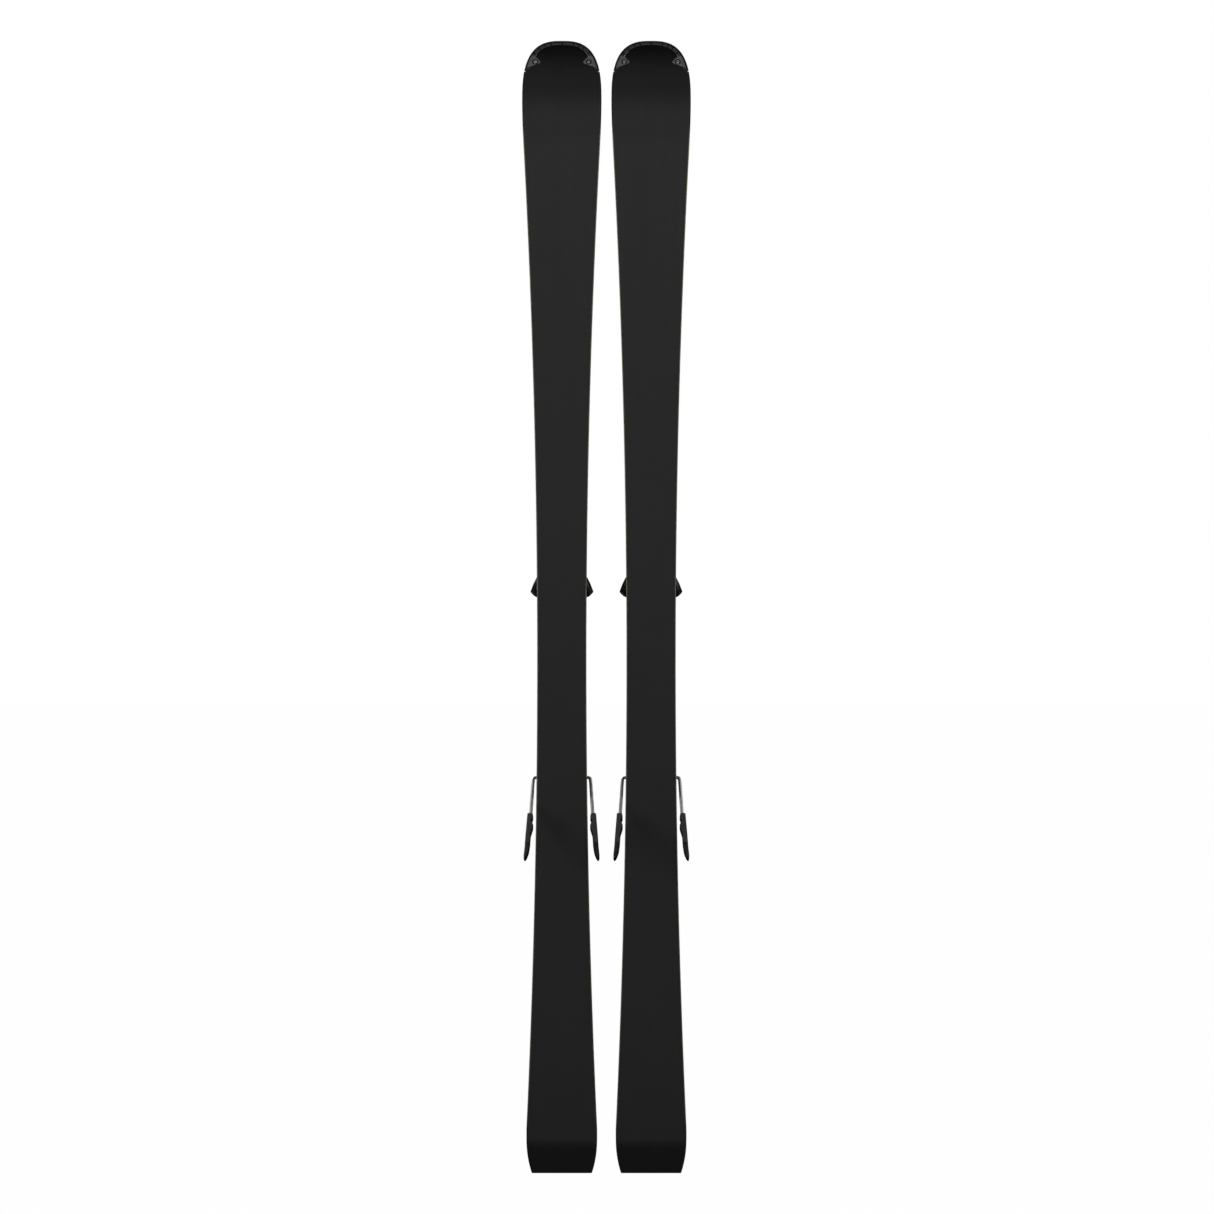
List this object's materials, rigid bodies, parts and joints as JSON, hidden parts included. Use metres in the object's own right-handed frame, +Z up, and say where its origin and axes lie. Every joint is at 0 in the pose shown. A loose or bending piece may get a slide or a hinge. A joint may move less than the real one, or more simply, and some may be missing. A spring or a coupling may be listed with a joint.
{
  "type": "alpine skis with bindings",
  "caption": "Carving skis with step-in bindings, stood upright with tips up: steel-edged laminate, toe and heel pieces, and brakes swung out.",
  "frame": {"origin": "at the foot of the pair, midway between the skis, level with the middle of the running bases", "axes": "+Z up along the skis from tail to tip, +X across the pair, -Y out of the running bases, +Y the binding side"},
  "size_m": [0.2466, 0.2019, 1.6575],
  "materials": {
    "base": "sintered black base, stone ground, dull sheen",
    "steel_edge": "ground steel edge, fine file marks",
    "sidewall": "black sidewall, satin",
    "wood_core": "laminated core, sawn",
    "topsheet": "dark printed topsheet, satin gloss",
    "guard": "moulded tip guard, dark grey satin",
    "binding_black": "glass-filled black plastic, fine grain",
    "binding_gloss": "black moulded housing, semi gloss",
    "binding_grey": "dark grey moulded lever, satin",
    "brake_plastic": "black brake pad, satin",
    "slide_plastic": "low-friction plate, satin",
    "wire_steel": "drawn zinc-plated wire",
    "spring_steel": "oiled spring steel",
    "zinc": "zinc-plated steel",
    "indicator": "red marker, satin"
  },
  "bodies": {
    "left_ski": {"left_running_base": "base", "left_steel_edge_left": "steel_edge", "left_steel_edge_right": "steel_edge", "left_sidewall_left": "sidewall", "left_sidewall_right": "sidewall", "left_wood_core": "wood_core", "left_topsheet": "topsheet", "left_tip_guard": "guard", "left_tail_guard": "guard", "left_front_rail": "binding_black", "left_rear_rail": "binding_black", "left_toe_housing": "binding_gloss", "left_toe_spring": "spring_steel"},
    "left_toe_wing_left": {"left_toe_wing_left": "binding_gloss"},
    "left_toe_wing_right": {"left_toe_wing_right": "binding_gloss"},
    "left_slide_plate": {"left_slide_plate": "slide_plastic"},
    "left_toe_screw": {"left_toe_screw": "zinc"},
    "left_toe_indicator": {"left_toe_indicator": "indicator"},
    "left_heel_carriage": {"left_heel_carriage": "binding_black", "left_heel_pin": "zinc"},
    "left_heel_housing": {"left_heel_housing": "binding_gloss", "left_heel_spring": "spring_steel"},
    "left_heel_screw": {"left_heel_screw": "zinc"},
    "left_heel_indicator": {"left_heel_indicator": "indicator"},
    "left_heel_lever": {"left_heel_lever": "binding_grey"},
    "left_brake": {"left_brake_wire": "wire_steel", "left_brake_pad_left": "brake_plastic", "left_brake_pad_right": "brake_plastic"},
    "left_brake_pedal": {"left_brake_pedal": "binding_black"},
    "left_length_latch": {"left_length_latch": "binding_grey"},
    "right_ski": {"right_running_base": "base", "right_steel_edge_left": "steel_edge", "right_steel_edge_right": "steel_edge", "right_sidewall_left": "sidewall", "right_sidewall_right": "sidewall", "right_wood_core": "wood_core", "right_topsheet": "topsheet", "right_tip_guard": "guard", "right_tail_guard": "guard", "right_front_rail": "binding_black", "right_rear_rail": "binding_black", "right_toe_housing": "binding_gloss", "right_toe_spring": "spring_steel"},
    "right_toe_wing_left": {"right_toe_wing_left": "binding_gloss"},
    "right_toe_wing_right": {"right_toe_wing_right": "binding_gloss"},
    "right_slide_plate": {"right_slide_plate": "slide_plastic"},
    "right_toe_screw": {"right_toe_screw": "zinc"},
    "right_toe_indicator": {"right_toe_indicator": "indicator"},
    "right_heel_carriage": {"right_heel_carriage": "binding_black", "right_heel_pin": "zinc"},
    "right_heel_housing": {"right_heel_housing": "binding_gloss", "right_heel_spring": "spring_steel"},
    "right_heel_screw": {"right_heel_screw": "zinc"},
    "right_heel_indicator": {"right_heel_indicator": "indicator"},
    "right_heel_lever": {"right_heel_lever": "binding_grey"},
    "right_brake": {"right_brake_wire": "wire_steel", "right_brake_pad_left": "brake_plastic", "right_brake_pad_right": "brake_plastic"},
    "right_brake_pedal": {"right_brake_pedal": "binding_black"},
    "right_length_latch": {"right_length_latch": "binding_grey"}
  },
  "joints": [
    {"name": "brake_swing_left", "type": "hinge", "parent": "left_heel_carriage", "child": "left_brake", "pos_m": [-0.06525, 0.0272, 0.5785], "axis": [1, 0, 0], "range_deg": [0, 46], "stiffness_Nm_per_rad": 1.5, "springref_deg": -34.38},
    {"name": "brake_pedal_tilt_left", "type": "hinge", "parent": "left_heel_carriage", "child": "left_brake_pedal", "pos_m": [-0.06525, 0.029, 0.642], "axis": [-1, 0, 0], "range_deg": [0, 17.5]},
    {"name": "heel_open_left", "type": "hinge", "parent": "left_heel_carriage", "child": "left_heel_housing", "pos_m": [-0.06525, 0.036, 0.512], "axis": [-1, 0, 0], "range_deg": [0, 45], "stiffness_Nm_per_rad": 6, "springref_deg": -22.92},
    {"name": "heel_lever_press_left", "type": "hinge", "parent": "left_heel_housing", "child": "left_heel_lever", "pos_m": [-0.06525, 0.084, 0.508], "axis": [-1, 0, 0], "range_deg": [0, 25.5]},
    {"name": "heel_screw_turn_left", "type": "hinge", "parent": "left_heel_housing", "child": "left_heel_screw", "pos_m": [-0.06525, 0.062, 0.49], "axis": [0, 0, 1], "range_deg": [-270, 270]},
    {"name": "heel_indicator_shift_left", "type": "slide", "parent": "left_heel_housing", "child": "left_heel_indicator", "axis": [0, 0, 1], "range_m": [-0.0052, 0.0052]},
    {"name": "heel_slide_left", "type": "slide", "parent": "left_ski", "child": "left_heel_carriage", "axis": [0, 0, 1], "range_m": [-0.02, 0.02]},
    {"name": "length_latch_lift_left", "type": "hinge", "parent": "left_heel_carriage", "child": "left_length_latch", "pos_m": [-0.06525, 0.0272, 0.464], "axis": [1, 0, 0], "range_deg": [0, 25], "stiffness_Nm_per_rad": 0.3, "springref_deg": -22.92},
    {"name": "slide_plate_shift_left", "type": "slide", "parent": "left_ski", "child": "left_slide_plate", "axis": [1, 0, 0], "range_m": [-0.008, 0.008], "stiffness_N_per_m": 600},
    {"name": "toe_screw_turn_left", "type": "hinge", "parent": "left_ski", "child": "left_toe_screw", "pos_m": [-0.06525, 0.0485, 0.935], "axis": [0, 0, 1], "range_deg": [-270, 270]},
    {"name": "toe_indicator_shift_left", "type": "slide", "parent": "left_ski", "child": "left_toe_indicator", "axis": [0, 0, 1], "range_m": [-0.0052, 0.0052]},
    {"name": "toe_wing_left_left", "type": "hinge", "parent": "left_ski", "child": "left_toe_wing_left", "pos_m": [-0.08925, 0.048, 0.876], "axis": [0, 1, 0], "range_deg": [0, 25], "stiffness_Nm_per_rad": 2, "springref_deg": -17.19},
    {"name": "toe_wing_right_left", "type": "hinge", "parent": "left_ski", "child": "left_toe_wing_right", "pos_m": [-0.04125, 0.048, 0.876], "axis": [0, -1, 0], "range_deg": [0, 25], "stiffness_Nm_per_rad": 2, "springref_deg": -17.19},
    {"name": "brake_swing_right", "type": "hinge", "parent": "right_heel_carriage", "child": "right_brake", "pos_m": [0.06525, 0.0272, 0.5785], "axis": [1, 0, 0], "range_deg": [0, 46], "stiffness_Nm_per_rad": 1.5, "springref_deg": -34.38},
    {"name": "brake_pedal_tilt_right", "type": "hinge", "parent": "right_heel_carriage", "child": "right_brake_pedal", "pos_m": [0.06525, 0.029, 0.642], "axis": [-1, 0, 0], "range_deg": [0, 17.5]},
    {"name": "heel_open_right", "type": "hinge", "parent": "right_heel_carriage", "child": "right_heel_housing", "pos_m": [0.06525, 0.036, 0.512], "axis": [-1, 0, 0], "range_deg": [0, 45], "stiffness_Nm_per_rad": 6, "springref_deg": -22.92},
    {"name": "heel_lever_press_right", "type": "hinge", "parent": "right_heel_housing", "child": "right_heel_lever", "pos_m": [0.06525, 0.084, 0.508], "axis": [-1, 0, 0], "range_deg": [0, 25.5]},
    {"name": "heel_screw_turn_right", "type": "hinge", "parent": "right_heel_housing", "child": "right_heel_screw", "pos_m": [0.06525, 0.062, 0.49], "axis": [0, 0, 1], "range_deg": [-270, 270]},
    {"name": "heel_indicator_shift_right", "type": "slide", "parent": "right_heel_housing", "child": "right_heel_indicator", "axis": [0, 0, 1], "range_m": [-0.0052, 0.0052]},
    {"name": "heel_slide_right", "type": "slide", "parent": "right_ski", "child": "right_heel_carriage", "axis": [0, 0, 1], "range_m": [-0.02, 0.02]},
    {"name": "length_latch_lift_right", "type": "hinge", "parent": "right_heel_carriage", "child": "right_length_latch", "pos_m": [0.06525, 0.0272, 0.464], "axis": [1, 0, 0], "range_deg": [0, 25], "stiffness_Nm_per_rad": 0.3, "springref_deg": -22.92},
    {"name": "slide_plate_shift_right", "type": "slide", "parent": "right_ski", "child": "right_slide_plate", "axis": [1, 0, 0], "range_m": [-0.008, 0.008], "stiffness_N_per_m": 600},
    {"name": "toe_screw_turn_right", "type": "hinge", "parent": "right_ski", "child": "right_toe_screw", "pos_m": [0.06525, 0.0485, 0.935], "axis": [0, 0, 1], "range_deg": [-270, 270]},
    {"name": "toe_indicator_shift_right", "type": "slide", "parent": "right_ski", "child": "right_toe_indicator", "axis": [0, 0, 1], "range_m": [-0.0052, 0.0052]},
    {"name": "toe_wing_left_right", "type": "hinge", "parent": "right_ski", "child": "right_toe_wing_left", "pos_m": [0.04125, 0.048, 0.876], "axis": [0, 1, 0], "range_deg": [0, 25], "stiffness_Nm_per_rad": 2, "springref_deg": -17.19},
    {"name": "toe_wing_right_right", "type": "hinge", "parent": "right_ski", "child": "right_toe_wing_right", "pos_m": [0.08925, 0.048, 0.876], "axis": [0, -1, 0], "range_deg": [0, 25], "stiffness_Nm_per_rad": 2, "springref_deg": -17.19},
    {"name": "pair_spread", "type": "slide", "parent": "left_ski", "child": "right_ski", "axis": [1, 0, 0], "range_m": [0, 0.3]}
  ],
  "couplings": [
    {"joint": "brake_pedal_tilt_left", "follows": "brake_swing_left", "ratio": 0.36956},
    {"joint": "heel_lever_press_left", "follows": "heel_open_left", "ratio": 0.55556},
    {"joint": "heel_indicator_shift_left", "follows": "heel_screw_turn_left", "m_per_rad": 0.001061},
    {"joint": "toe_indicator_shift_left", "follows": "toe_screw_turn_left", "m_per_rad": 0.001061},
    {"joint": "brake_pedal_tilt_right", "follows": "brake_swing_right", "ratio": 0.36956},
    {"joint": "heel_lever_press_right", "follows": "heel_open_right", "ratio": 0.55556},
    {"joint": "heel_indicator_shift_right", "follows": "heel_screw_turn_right", "m_per_rad": 0.001061},
    {"joint": "toe_indicator_shift_right", "follows": "toe_screw_turn_right", "m_per_rad": 0.001061}
  ]
}
